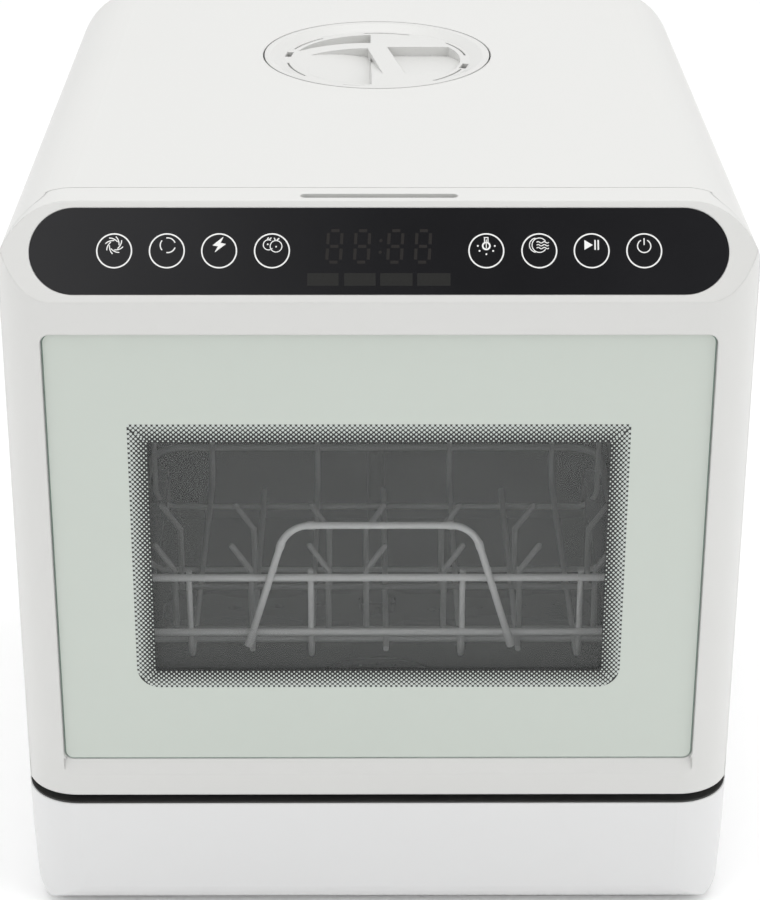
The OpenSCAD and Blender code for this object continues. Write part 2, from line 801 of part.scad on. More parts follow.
module frame_screws() {
  color("silver") at_front() {
    for (s = [-1, 1]) for (z = [150, 230, 340])
      translate([s * 190, frame_y + 1, z]) rotate([90, 0, 0]) screw(3.4, 2);
    for (s = [-1, 1]) for (z = [hinge_z + 15, hinge_z + 27])
      translate([s * 187, frame_y - 2.4, z]) rotate([90, 0, 0]) screw(3.2, 1.2);
  }
}

// ---------- door ----------

module door_blank() {
  difference() {
    body_solid(0, door_z0, body_h + 1);
    across(-body_w, body_w) slope_cut(0);
    box(-body_w, body_w, console_d - 0.001, body_d + 50, 0, body_h + 50);
  }
}

module door_cavity() {
  difference() {
    body_solid(wall, door_z0 + wall, body_h + 1);
    across(-body_w, body_w) slope_cut(4);
  }
}

module bevel_edge() {
  across(-glass_w / 2 - glass_gap, glass_w / 2 + glass_gap)
    polygon([
      [-1, glass_z - 9.3 - 2.8], [-1, glass_z + 1], [glass_in + 0.2, glass_z + 1],
      [glass_in + 0.2, glass_z - glass_gap]
    ]);
}

module door_frame() {
  gw = glass_w + 2 * glass_gap;
  gh = glass_h + 2 * glass_gap;
  gz = glass_z - glass_gap;
  color("white") at_front() difference() {
    union() {
      difference() {
        intersection() {
          door_blank();
          across(-body_w, body_w) door_zone(0);
        }
        door_cavity();
      }
      intersection() {
        door_blank();
        box(-glass_w / 2 - 6, glass_w / 2 + 6, 1, 11, glass_z - 12, door_h + 6);
      }
      both_sides() {
        intersection() {
          union() {
            rod_x(167.5, 175.6, hinge_y, hinge_z, 6.4);
            box(167.5, 175.6, 2, hinge_y + 6.4, door_z0 + 1, hinge_z);
            rod_x(183.4, 189, hinge_y, hinge_z, 6.4);
            box(183.4, 189, 2, hinge_y + 6.4, door_z0 + 1, hinge_z);
          }
          body_solid(1, 0, body_h);
        }
      }
    }
    along(-5, glass_in + glass_t + 0.3) translate([-gw / 2, gz]) round_rect(gw, gh, glass_r + glass_gap);
    along(-5, 20) translate([-glass_w / 2 + 12, glass_z + 12])
      round_rect(glass_w - 24, glass_h - 24, 8);
    bevel_edge();
    on_slope() translate([0, panel_s + panel_h / 2, -panel_t - 0.2])
      linear_extrude(20) stadium(panel_w + 0.6, panel_h + 0.6);
    on_slope() translate([-31, 20, -10]) cube([62, 23, 20]);
    translate([0, grip_y, body_h - 10]) linear_extrude(20) stadium(grip_w, grip_o);
    both_sides() {
      box(175.3, 183.7, hinge_y - 4.8, 60, 60, hinge_z + 5);
      rod_x(160, 189.4, hinge_y, hinge_z, pin_r + run_play);
    }
  }
}

module door_glass() {
  color("honeydew") at_front() along(glass_in, glass_in + glass_t)
    translate([-glass_w / 2, glass_z]) round_rect(glass_w, glass_h, glass_r);
}

module glass_seal() {
  y0 = glass_in + glass_t;
  color("black") at_front() difference() {
    along(y0, y0 + 0.3) translate([-glass_w / 2 + 1, glass_z + 1])
      round_rect(glass_w - 2, glass_h - 2, glass_r);
    along(y0 - 1, y0 + 2) translate([-glass_w / 2 + 12, glass_z + 12])
      round_rect(glass_w - 24, glass_h - 24, 8);
  }
}

module door_liner() {
  w = 392;
  z0 = door_z0 + wall + 0.5;
  z1 = shelf_z + 2;
  color("gray") at_front() difference() {
    union() {
      along(liner_y, liner_y + liner_t) translate([-w / 2, z0]) round_rect(w, z1 - z0, 10);
      along(12, liner_y + 1) difference() {
        translate([-w / 2 + 6, z0 + 18]) round_rect(w - 12, z1 - z0 - 26, 10);
        translate([-w / 2 + 9, z0 + 21]) round_rect(w - 18, z1 - z0 - 32, 8);
      }
      along(11.2, liner_y + 1) difference() {
        translate([-150, 132]) round_rect(300, 208, 12);
        translate([-147, 135]) round_rect(294, 202, 10);
      }
    }
    along(0, 40) translate([-138, 144]) round_rect(276, 184, 14);
    along(liner_y - 0.1, liner_y + 1.6) translate([-143.4, 138.6]) round_rect(286.8, 194.8, 12);
    along(liner_y + 2.2, liner_y + 5) difference() {
      translate([-160, 118]) round_rect(320, 232, 20);
      translate([-157, 121]) round_rect(314, 226, 18);
    }
    both_sides() box(174.5, 184.5, 0, 60, 60, hinge_z + 5.5);
    for (p = screw_spots) rod_y(liner_y + 1.4, liner_y + 6, p[0], p[1], 3.4);
  }
}

module inner_glass() {
  color("lightblue") at_front() along(liner_y - 1.6, liner_y + 1.5)
    translate([-143, 139]) round_rect(286, 194, 11.6);
}

module console_cover() {
  z0 = shelf_z + 6;
  y1 = console_d - 3;
  color("dimgray") at_front() intersection() {
    body_solid(wall + 0.5, 0, body_h);
    difference() {
      across(-196, 196) {
        translate([y1 - 2.3, z0]) square([2.3, body_h - wall - 0.3 - z0]);
        translate([liner_y, z0]) square([y1 - liner_y, 2.3]);
        translate([liner_y, shelf_z + 2.2]) square([2.3, 6]);
      }
      for (i = [0 : 8]) box(-100 + 24 * i, -90 + 24 * i, y1 - 12, y1 - 8, z0 - 2, z0 + 5);
    }
  }
}

module touch_panel() {
  color("black") at_front() on_slope()
    translate([0, panel_s + panel_h / 2, -panel_t]) linear_extrude(panel_t)
      stadium(panel_w, panel_h);
}

module display_module() {
  color("black") at_front() on_slope() {
    translate([-30.5, 20.5, -4.2]) cube([61, 22, 2.6]);
  }
}

module touch_board() {
  color("darkgreen") at_front() on_slope() difference() {
    translate([-160, 9, -5.9]) cube([320, 34, 1.6]);
    for (x = [-150, 150]) translate([x, 26, -8]) cylinder(r = 1.8, h = 6);
  }
}

module grip_pocket() {
  color("black") at_front() difference() {
    translate([0, grip_y, body_h - 16]) linear_extrude(16 - wall - 0.05)
      stadium(grip_w + 3.6, grip_o + 3.6);
    translate([0, grip_y, body_h - 14.5]) linear_extrude(16) stadium(grip_w + 1, grip_o + 1);
  }
}

module latch_hook() {
  y0 = console_d - 3;
  color("silver") at_front() difference() {
    union() {
      box(-12, 12, y0, y0 + 1.8, 388, 410);
      box(-6, 6, y0 + 1, y0 + 19, 396, 401);
    }
    box(-3.5, 3.5, y0 + 8, y0 + 14, 390, 405);
  }
}

module door_screws() {
  color("silver") at_front() for (p = screw_spots)
    translate([p[0], liner_y + 1.4, p[1]]) rotate([-90, 0, 0]) screw(3, 1.4);
}

// ---------- rack ----------

module wire_loop(z, r) {
  $fn = wire_fn;
  w = rack_w / 2 - r;
  b = 22;
  y0 = rack_y0 + r;
  y1 = rack_y1 - r;
  rod_x(-w + b, w - b, y0, z, r);
  rod_x(-w + b, w - b, y1, z, r);
  for (s = [-1, 1]) rod_y(y0 + b, y1 - b, s * w, z, r);
  translate([w - b, y1 - b, z]) rotate_extrude(angle = 90) translate([b, 0]) circle(r = r);
  translate([-w + b, y1 - b, z]) rotate([0, 0, 90]) rotate_extrude(angle = 90)
    translate([b, 0]) circle(r = r);
  translate([-w + b, y0 + b, z]) rotate([0, 0, 180]) rotate_extrude(angle = 90)
    translate([b, 0]) circle(r = r);
  translate([w - b, y0 + b, z]) rotate([0, 0, 270]) rotate_extrude(angle = 90)
    translate([b, 0]) circle(r = r);
}

module rack_rim() {
  color("lightgray") at_front() {
    wire_loop(rack_z1, rail_r);
    wire_loop(rack_z1 - 37, rail_r);
  }
}

// one wire from the front rim down, under the floor and up the back
module basket_wire(x) {
  $fn = wire_fn;
  b = 14;
  r = wire_r;
  y0 = rack_y0 + 2 * rail_r + r + weld;
  y1 = rack_y1 - 2 * rail_r - r - weld;
  rod_z(rack_z0 + b, rack_z1 + 2.8, x, y0, r);
  rod_z(rack_z0 + b, rack_z1 + 2.8, x, y1, r);
  rod_y(y0 + b, y1 - b, x, rack_z0, r);
  translate([x, y0 + b, rack_z0 + b]) rotate([90, 0, 90]) rotate([0, 0, 180])
    rotate_extrude(angle = 90) translate([b, 0]) circle(r = r);
  translate([x, y1 - b, rack_z0 + b]) rotate([90, 0, 90]) rotate([0, 0, 270])
    rotate_extrude(angle = 90) translate([b, 0]) circle(r = r);
}

// one wire from the side rim down, under the floor and up the other side
module cross_wire(y) {
  $fn = wire_fn;
  b = 14;
  r = wire_r;
  x1 = rack_w / 2 - 2 * rail_r - r - weld;
  zl = rack_z0 - 2 * r - weld;
  for (s = [-1, 1]) rod_z(zl + b, rack_z1 + 0.5, s * x1, y, r);
  rod_x(-x1 + b, x1 - b, y, zl, r);
  both_sides() translate([x1 - b, y, zl + b]) rotate([90, 0, 0]) rotate([0, 0, 270])
    rotate_extrude(angle = 90) translate([b, 0]) circle(r = r);
}

module rack_floor() {
  color("lightgray") at_front() {
    for (x = [-112, -40, 50, 120]) basket_wire(x);
    for (x = [-76, 5, 85]) rod_y(rack_y0 + 22, rack_y1 - 22, x, rack_z0, wire_r, $fn = wire_fn);
    for (y = [90, 180, 270]) cross_wire(y);
  }
}

module tine(x, y, s) {
  $fn = wire_fn;
  r = wire_r;
  zb = rack_z0 + 44.5;
  rod_z(rack_z0 + 2 * r + 0.1, zb, x, y, r);
  translate([x, y, zb]) sphere(r = r + 0.1);
  translate([x, y, zb]) rotate([0, s * 34, 0]) cylinder(r = r, h = 20);
  translate([x + s * 20 * sin(34), y, zb + 20 * cos(34)]) sphere(r = r);
}

module tine_row(y) {
  $fn = wire_fn;
  rod_x(-129, 139, y, rack_z0 + 2 * wire_r + 0.1 + weld, wire_r + 0.1);
  for (x = [-123, -77, -30]) tine(x, y, -1);
  for (x = [-7, 40, 86, 132]) tine(x, y, 1);
}

module rack_tines() {
  color("lightgray") at_front() {
    tine_row(90);
    tine_row(144);
  }
}

module rack_handle() {
  $fn = wire_fn;
  r = 2.1;
  b = 18.5;
  ang = 16.5;
  zf = rack_z1 - 43;
  xt = 40.5;
  y = rack_y0 - r - 0.5;
  sx = xt + b * cos(ang);
  sz = handle_z - b + b * sin(ang);
  ln = (sz - zf) / cos(ang);
  color("lightgray") at_front() translate([1, y, 0]) {
    rod_x(-xt, xt, 0, handle_z, r);
    for (s = [0, 1]) mirror([s, 0, 0]) {
      translate([xt, 0, handle_z - b]) rotate([90, 0, 0]) rotate([0, 0, ang])
        rotate_extrude(angle = 90 - ang) translate([b, 0]) circle(r = r);
      translate([xt - 2, 0, handle_z]) rotate([0, 90, 0]) cylinder(r = r + 0.4, h = 4);
      translate([sx, 0, sz]) rotate([0, 180 - ang, 0]) {
        cylinder(r = r, h = ln);
        translate([0, 0, -2]) cylinder(r = r + 0.4, h = 4);
        translate([0, 0, ln - 10]) cylinder(r = r + 0.48, h = 10);
      }
    }
  }
}

module rack_shoes() {
  x1 = rack_w / 2;
  color("gray") at_front() both_sides() for (y = [62, rack_y1 - 44]) difference() {
    union() {
      box(x1 - 14, x1 - 2, y, y + 30, rack_z0 - 12, rack_z0 + 1);
      box(x1 - 14, x1 - 8, y, y + 30, rack_z0, rack_z0 + 6);
    }
    translate([x1 - 8, y - 1, rack_z0 + 7]) rotate([-90, 0, 0]) cylinder(r = 5, h = 32);
  }
}

// ---------- spray arms ----------

module arm_shape(r) {
  w = arm_w;
  for (a = [0, 180]) rotate([0, 0, a]) {
    difference() {
      translate([0, -w / 2]) square([r - w / 2, w]);
      translate([r * 0.56, w * 2.42]) circle(r = w * 2.1);
      translate([r * 0.56, -w * 2.42]) circle(r = w * 2.1);
    }
    translate([r - w / 2, 0]) circle(r = w / 2);
  }
  circle(r = w * 0.72);
}

module spray_arm(z0, s) {
  translate([0, arm_y, z0]) difference() {
    union() {
      translate([0, 0, 1]) linear_extrude(arm_t - 2) arm_shape(arm_r);
      linear_extrude(arm_t) difference() {
        arm_shape(arm_r - 3);
        circle(r = 4);
      }
      cylinder(r = 14, h = arm_t);
    }
    translate([0, 0, -1]) cylinder(r = pivot_r + run_play, h = arm_t + 2);
    for (a = [0, 180]) rotate([0, 0, a])
      for (x = [36, 64, 92, 118]) translate([x, (x - 78) * 0.08, s > 0 ? arm_t - 3 : -1]) {
        cylinder(r = 2.6, h = 4);
        cube([9, 1.6, 8], center = true);
      }
  }
}

module lower_arm() {
  color("gray") at_front() spray_arm(lower_z, 1);
}

module lower_arm_nut() {
  z = lower_z + arm_t;
  color("gray") at_front() translate([0, arm_y, 0]) difference() {
    union() {
      rod_z(z + 0.3, z + 6, 0, 0, 12);
      rod_z(z + 6, z + 8, 0, 0, 9);
    }
    rod_z(z - 1, z + 5.3, 0, 0, pivot_r + run_play);
    for (a = [0 : 45 : 315]) rotate([0, 0, a]) rod_z(z - 1, z + 10, 13, 0, 2.4);
  }
}

module upper_arm() {
  color("gray") at_front() spray_arm(upper_z, -1);
}

module upper_arm_nut() {
  z = upper_z;
  color("gray") at_front() translate([0, arm_y, 0]) difference() {
    union() {
      rod_z(z - 7, z - 0.3, 0, 0, 12);
      rod_z(z - 9, z - 7, 0, 0, 9);
    }
    rod_z(z - 5.3, z + 1, 0, 0, pivot_r + run_play);
    for (a = [0 : 45 : 315]) rotate([0, 0, a]) rod_z(z - 10, z + 1, 13, 0, 2.4);
  }
}

// ---------- fill cap ----------

// the raised blades that swirl out from the middle, drawn for a cap 143 across
module cap_blades() {
  scale(cap_d / 143) {
    polygon([[-7, 30], [6, 30], [22, -52], [8, -56]]);
    translate([-4, 26]) square([80, 60]);
    intersection() {
      translate([-6, -28]) difference() {
        circle(r = 63);
        circle(r = 51);
      }
      translate([-84, -30]) square([80, 120]);
    }
  }
}

// the part of the dish between the blades
module cap_well(h) {
  linear_extrude(h) difference() {
    circle(r = cap_r - 18.5);
    cap_blades();
  }
}

// three wells: right and left ones with floors that rise like ramps, and a flat one at the back
module cap_wells() {
  k = cap_d / 143;
  intersection() {
    cap_well(9);
    translate([-4 * k, 26 * k, 0]) rotate([-6, 0, 0]) translate([0, -120, 0]) cube([90, 125, 30]);
  }
  intersection() {
    cap_well(9);
    translate([-6 * k, -28 * k, -1]) cylinder(r = 57 * k, h = 12);
    translate([-4.5 * k, 0, 0]) rotate([0, 9, 0]) translate([-120, -80, 0]) cube([120, 160, 30]);
  }
  difference() {
    translate([0, 0, 1]) cap_well(8);
    translate([-6 * k, -28 * k, 0]) cylinder(r = 57 * k, h = 12);
    translate([-4 * k, -90, 0]) cube([90, 180, 12]);
  }
}

module fill_cap() {
  rim = cap_r - 4;
  color("white") at_front() translate([0, cap_y, cap_z]) difference() {
    union() {
      cylinder(r = cap_r, h = cap_t);
      translate([0, 0, -9]) difference() {
        cylinder(r = cap_r - 6, h = 10);
        translate([0, 0, -1]) cylinder(r = cap_r - 8.5, h = 12);
      }
    }
    translate([0, 0, cap_t - 3.5]) cylinder(r1 = rim - 8, r2 = rim, h = 3.6);
    translate([0, 0, cap_t - 9.5]) cap_wells();
    for (a = [8 : 60 : 308]) rotate([0, 0, a]) rotate_extrude(angle = 30)
      translate([cap_r - 15.1, -2]) square([1.2, cap_t + 5]);
    for (a = [170, 345]) rotate([0, 0, a]) translate([cap_r - 16.5, -5, -2])
      cube([4, 10, cap_t + 5]);
    rotate_extrude() translate([cap_r - 7.25, -6.1]) square([2, 2.2]);
    translate([0, 0, -1]) difference() {
      cylinder(r = cap_r - 8.6, h = 4);
      for (a = [20 : 60 : 320]) rotate([0, 0, a]) translate([0, -1, 0]) cube([cap_r, 2, 5]);
      cylinder(r = 14, h = 5);
    }
  }
}

module cap_seal() {
  color("black") at_front() translate([0, cap_y, cap_z - 5])
    rotate_extrude() translate([cap_r - 6.3, 0]) circle(r = 0.9);
}

// ---------- output ----------

outer_wrap();
rear_cover();
base_plinth();
base_pan();
rubber_feet();
gap_trim();
front_frame();
door_gasket();
tub();
sump_bowl();
filter_plate();
filter_cup();
arm_post();
feed_pipe();
rack_rails();
chamber_lamp();
wash_pump();
heater_can();
drain_pump();
power_board();
water_tank();
fill_funnel();
level_sensor();
inlet_valve();
drain_fitting();
cable_gland();
fan_case();
fan_rotor();
hinge_brackets();
hinge_pins();
latch_strike();
rear_screws();
base_screws();
frame_screws();
door_frame();
door_glass();
glass_seal();
door_liner();
inner_glass();
console_cover();
touch_panel();
display_module();
touch_board();
grip_pocket();
latch_hook();
door_screws();
rack_rim();
rack_floor();
rack_tines();
rack_handle();
rack_shoes();
lower_arm();
lower_arm_nut();
upper_arm();
upper_arm_nut();
fill_cap();
cap_seal();
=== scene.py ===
import json
import math

import bpy
from mathutils import Matrix, Vector, geometry


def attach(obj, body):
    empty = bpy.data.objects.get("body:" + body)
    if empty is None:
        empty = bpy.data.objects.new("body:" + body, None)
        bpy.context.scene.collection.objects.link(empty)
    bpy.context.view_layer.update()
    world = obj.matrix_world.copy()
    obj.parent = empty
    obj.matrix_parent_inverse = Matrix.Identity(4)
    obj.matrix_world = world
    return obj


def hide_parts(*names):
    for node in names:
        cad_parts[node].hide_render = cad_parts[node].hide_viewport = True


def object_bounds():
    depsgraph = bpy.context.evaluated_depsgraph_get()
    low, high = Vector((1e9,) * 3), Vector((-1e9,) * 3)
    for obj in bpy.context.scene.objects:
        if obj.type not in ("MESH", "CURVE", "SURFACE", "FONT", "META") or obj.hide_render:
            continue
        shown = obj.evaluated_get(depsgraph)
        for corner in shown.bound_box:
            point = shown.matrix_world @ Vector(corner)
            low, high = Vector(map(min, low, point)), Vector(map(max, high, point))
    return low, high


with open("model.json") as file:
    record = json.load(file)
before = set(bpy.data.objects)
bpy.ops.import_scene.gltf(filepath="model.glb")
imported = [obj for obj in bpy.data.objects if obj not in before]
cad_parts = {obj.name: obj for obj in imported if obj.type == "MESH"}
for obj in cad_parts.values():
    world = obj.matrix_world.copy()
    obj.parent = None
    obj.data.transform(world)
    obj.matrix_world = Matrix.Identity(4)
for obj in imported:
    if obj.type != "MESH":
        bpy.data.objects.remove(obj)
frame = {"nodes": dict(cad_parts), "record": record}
cad_low, cad_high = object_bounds()
nodes = frame["nodes"]

MM = 0.001
# The plane of the door's front, and where the panel's slope starts in it, in millimetres
FRONT = round(cad_low[1] / MM, 1)
SLOPE_Z = 394.6
SLOPE = math.radians(55)

# Front glass: half width, lower and upper edge above the table, corner, front and back face, bevel
GLASS_HALF, GLASS_LOW, GLASS_HIGH, GLASS_R = 184, 104, 375, 5
GLASS_FRONT, GLASS_BACK, GLASS_BEVEL = 3.0, 7.0, 0.5
# Printed border and the clear window inside it, with round lower and nearly square upper corners
FRIT_HALF, FRIT_LOW, FRIT_HIGH, FRIT_R = 139.7, 152.3, 320.7, 13
WINDOW_HALF, WINDOW_LOW, WINDOW_HIGH, WINDOW_R = 129, 163.1, 309.7, 3
SQUARE_R = 0.5


# ---------- camera ----------

# Placed so that the machine is seen from in front and a little above

cam_data = bpy.data.cameras.new("camera")
cam_data.lens = 104.2
cam_data.sensor_width = 36
cam_data.clip_start, cam_data.clip_end = 0.05, 60
cam = bpy.data.objects.new("camera", cam_data)
bpy.context.scene.collection.objects.link(cam)
cam.matrix_world = (
    Matrix.Translation((-0.0081, -1.5245, 0.9314))
    @ Matrix.Rotation(math.radians(-0.38), 4, "Z")
    @ Matrix.Rotation(math.radians(64.36), 4, "X")
    @ Matrix.Rotation(math.radians(0.13), 4, "Z")
)
bpy.context.scene.camera = cam
bpy.context.scene.view_settings.view_transform = "Standard"


# ---------- materials ----------

# Sockets of a colour mix node: its two colours and its result
MIX_A, MIX_B, MIX_OUT = 6, 7, 2


class Nodes:
    """A material's node tree, with short calls for what the materials here need."""

    def __init__(self, name):
        self.material = bpy.data.materials.new(name)
        self.material.use_nodes = True
        self.tree = self.material.node_tree
        self.shader = self.tree.nodes["Principled BSDF"]
        self.place = self.add("ShaderNodeTexCoord").outputs["Object"]

    def add(self, kind, **values):
        node = self.tree.nodes.new(kind)
        for key, value in values.items():
            setattr(node, key, value)
        return node

    def link(self, a, b):
        self.tree.links.new(a, b)

    def stretched(self, scale):
        node = self.add("ShaderNodeMapping")
        node.inputs["Scale"].default_value = scale
        self.link(self.place, node.inputs["Vector"])
        return node.outputs["Vector"]

    def noise(self, scale, detail=2.0, rough=0.5, place=None):
        node = self.add("ShaderNodeTexNoise")
        node.inputs["Scale"].default_value = scale
        node.inputs["Detail"].default_value = detail
        node.inputs["Roughness"].default_value = rough
        self.link(place or self.place, node.inputs["Vector"])
        return node.outputs["Fac"]

    def spread(self, value, low, high, start=0.3, end=0.7):
        node = self.add("ShaderNodeMapRange")
        node.inputs["From Min"].default_value = start
        node.inputs["From Max"].default_value = end
        node.inputs["To Min"].default_value = low
        node.inputs["To Max"].default_value = high
        self.link(value, node.inputs["Value"])
        return node.outputs["Result"]

    def mix(self, value, first, second):
        node = self.add("ShaderNodeMix", data_type="RGBA")
        self.link(value, node.inputs["Factor"])
        for socket, colour in ((MIX_A, first), (MIX_B, second)):
            if isinstance(colour, tuple):
                node.inputs[socket].default_value = (*colour, 1)
            else:
                self.link(colour, node.inputs[socket])
        return node.outputs[MIX_OUT]

    def bump(self, height, depth, strength=1.0, edge=0):
        node = self.add("ShaderNodeBump")
        node.inputs["Distance"].default_value = depth
        node.inputs["Strength"].default_value = strength
        self.link(height, node.inputs["Height"])
        if edge:
            bevel = self.add("ShaderNodeBevel", samples=4)
            bevel.inputs["Radius"].default_value = edge
            self.link(bevel.outputs["Normal"], node.inputs["Normal"])
        self.link(node.outputs["Normal"], self.shader.inputs["Normal"])

    def base(self, colour):
        self.link(colour, self.shader.inputs["Base Color"])

    def rough(self, value):
        self.link(value, self.shader.inputs["Roughness"])

    def put(self, socket, value):
        self.shader.inputs[socket].default_value = value


def shade(colour, by):
    return tuple(max(0.0, min(1.0, c * by)) for c in colour)


def plastic(name, colour, rough, grain=0.00002, size=1400, vary=0.03, coat=0.0, edge=0.0008):
    n = Nodes(name)
    cloud = n.noise(9, 3)
    fine = n.noise(size, 3, 0.6)
    n.base(n.mix(cloud, shade(colour, 1 - vary), shade(colour, 1 + vary)))
    n.rough(n.spread(fine, rough * 0.86, rough * 1.14))
    n.bump(fine, grain, 1.0, edge)
    if coat:
        n.put("Coat Weight", coat)
        n.put("Coat Roughness", 0.12)
    return n.material


def brushed(name, colour, rough, along=(40, 1400, 1400)):
    n = Nodes(name)
    lines = n.noise(1, 4, 0.7, n.stretched(along))
    cloud = n.noise(14, 2)
    n.put("Metallic", 1.0)
    n.base(n.mix(cloud, shade(colour, 0.9), shade(colour, 1.08)))
    n.rough(n.spread(lines, rough * 0.75, rough * 1.3))
    n.bump(lines, 0.00002, 0.8, 0.0004)
    return n.material


def plated(name, colour, rough=0.3):
    n = Nodes(name)
    spots = n.noise(260, 4, 0.65)
    n.put("Metallic", 1.0)
    n.base(n.mix(spots, shade(colour, 0.86), shade(colour, 1.1)))
    n.rough(n.spread(spots, rough * 0.8, rough * 1.3))
    n.bump(spots, 0.00001, 0.7, 0.0003)
    return n.material


def rubber(name, colour, rough=0.75):
    n = Nodes(name)
    fine = n.noise(900, 4, 0.7)
    dust = n.noise(30, 3)
    n.base(n.mix(dust, colour, shade(colour, 1.6)))
    n.rough(n.spread(fine, rough * 0.88, min(1.0, rough * 1.15)))
    n.bump(fine, 0.00004, 0.9, 0.0006)
    return n.material


def clear_glass(name, colour, alpha, rough=0.04):
    n = Nodes(name)
    film = n.noise(22, 3, 0.6)
    # The base colour is a diffuse layer: at low alpha it lays a grey veil, a painted reflection, over what
    # lies behind; at high alpha it is the glass's own colour
    n.base(n.mix(film, shade(colour, 0.92), shade(colour, 1.06)))
    n.rough(n.spread(film, rough * 0.6, rough * 1.8))
    n.put("Alpha", alpha)
    n.put("IOR", 1.5)
    return n.material


def back_painted(name, colour):
    """Glass painted on its back: flat colour under a polished clear layer."""
    n = Nodes(name)
    cloud = n.noise(7, 2)
    wave = n.noise(18, 2, 0.4)
    n.base(n.mix(cloud, shade(colour, 0.985), shade(colour, 1.015)))
    n.rough(n.spread(cloud, 0.28, 0.36))
    n.bump(wave, 0.00004, 0.25)
    n.put("Coat Weight", 0.5)
    n.put("Coat Roughness", 0.04)
    return n.material


def gloss_black(name, colour=(0.008, 0.008, 0.009), rough=0.09):
    n = Nodes(name)
    haze = n.noise(12, 4, 0.6)
    wave = n.noise(9, 2, 0.4)
    n.base(n.mix(haze, colour, shade(colour, 1.7)))
    n.rough(n.spread(haze, rough * 0.7, rough * 1.6))
    n.bump(wave, 0.00006, 0.3)
    return n.material


def ink(name, colour, rough=0.45):
    n = Nodes(name)
    grain = n.noise(2600, 2)
    n.base(n.mix(grain, shade(colour, 0.95), shade(colour, 1.03)))
    n.rough(n.spread(grain, rough * 0.9, rough * 1.1))
    return n.material


def circuit(name):
    """Solder mask with a net of slightly lighter tracks."""
    n = Nodes(name)
    cells = n.add("ShaderNodeTexVoronoi", feature="DISTANCE_TO_EDGE", distance="MANHATTAN")
    cells.inputs["Scale"].default_value = 260
    n.link(n.place, cells.inputs["Vector"])
    tracks = n.spread(cells.outputs["Distance"], 1, 0, 0.02, 0.06)
    n.base(n.mix(tracks, (0.010, 0.075, 0.030), (0.030, 0.17, 0.07)))
    n.rough(n.spread(tracks, 0.32, 0.42, 0, 1))
    n.bump(tracks, 0.00002, 0.8)
    return n.material


WHITE = (0.620, 0.620, 0.606)
SHELL_SKIN = {"grain": 0.000012, "size": 1500, "vary": 0.006}
WIRE_SKIN = {"grain": 0.00003, "size": 1300, "vary": 0.03, "coat": 0.15, "edge": 0}


def moulded(name, colour, rough, size, vary):
    """Plain moulded plastic with a fine grain."""
    return plastic(name, colour, rough, grain=0.00003, size=size, vary=vary)


M = {
    "shell_white": plastic("shell_white", WHITE, 0.34, coat=0.12, edge=0.0012, **SHELL_SKIN),
    "base_white": plastic("base_white", (0.690, 0.692, 0.693), 0.36, coat=0.1, edge=0.0012, **SHELL_SKIN),
    "cap_white": plastic("cap_white", shade(WHITE, 0.97), 0.36, coat=0.1, edge=0.0010, **SHELL_SKIN),
    "rear_grey": plastic("rear_grey", (0.52, 0.53, 0.54), 0.55, grain=0.00005, size=900, vary=0.02),
    "pan_grey": plastic("pan_grey", (0.05, 0.05, 0.055), 0.6, grain=0.00006, size=700, vary=0.05),
    "rubber_black": rubber("rubber_black", (0.02, 0.02, 0.02)),
    "trim_black": moulded("trim_black", (0.030, 0.030, 0.029), 0.5, 1200, 0.08),
    "frame_grey": moulded("frame_grey", (0.035, 0.036, 0.038), 0.45, 1100, 0.03),
    "seal_grey": rubber("seal_grey", (0.03, 0.03, 0.032), 0.6),
    "tub_grey": moulded("tub_grey", (0.022, 0.023, 0.023), 0.4, 1000, 0.04),
    "inner_grey": moulded("inner_grey", (0.030, 0.031, 0.033), 0.4, 1000, 0.04),
    "filter_steel": brushed("filter_steel", (0.58, 0.59, 0.60), 0.3),
    "filter_blue": plastic("filter_blue", (0.16, 0.20, 0.26), 0.4, size=1200),
    "arm_grey": moulded("arm_grey", (0.10, 0.103, 0.11), 0.42, 1100, 0.03),
    "lamp_lens": plastic(
        "lamp_lens", (0.85, 0.85, 0.80), 0.3, grain=0.00005, size=600, vary=0.02, coat=0.3),
    "motor_black": plastic("motor_black", (0.03, 0.03, 0.033), 0.45, grain=0.00005, size=800, vary=0.06),
    "heater_steel": brushed("heater_steel", (0.6, 0.6, 0.61), 0.28, along=(1400, 60, 1400)),
    "board_green": circuit("board_green"),
    "tank_white": plastic(
        "tank_white", (0.68, 0.71, 0.72), 0.4, grain=0.00003, size=700, vary=0.03, coat=0.1),
    "valve_white": moulded("valve_white", (0.62, 0.62, 0.60), 0.42, 1000, 0.02),
    "zinc": plated("zinc", (0.62, 0.63, 0.64)),
    "screw_steel": plated("screw_steel", (0.5, 0.51, 0.52), 0.26),
    "glass_green": back_painted("glass_paint", (0.510, 0.552, 0.507)),
    # Inner panes: the grey base colour at low alpha is a painted reflection veil over the inside
    "glass_clear": clear_glass("glass_clear", (0.10, 0.105, 0.10), alpha=0.06),
    "panel_black": gloss_black("panel_black"),
    "display_black": gloss_black("display_black", (0.006, 0.006, 0.007), 0.2),
    "rack_coat": plastic("rack_coat", (0.80, 0.81, 0.81), 0.38, **WIRE_SKIN),
    # The tine coat is the wire coat darkened: painted shade for the dimmer light deep inside the tub
    "tine_coat_painted_shade": plastic("tine_coat_painted_shade", (0.40, 0.405, 0.405), 0.4, **WIRE_SKIN),
    "rack_plastic": moulded("rack_plastic", (0.17, 0.175, 0.18), 0.42, 1000, 0.03),
}
frit_black = ink("frit_black", (0.012, 0.013, 0.013), 0.3)
frit_pale = back_painted("frit_pale", (0.50, 0.54, 0.51))
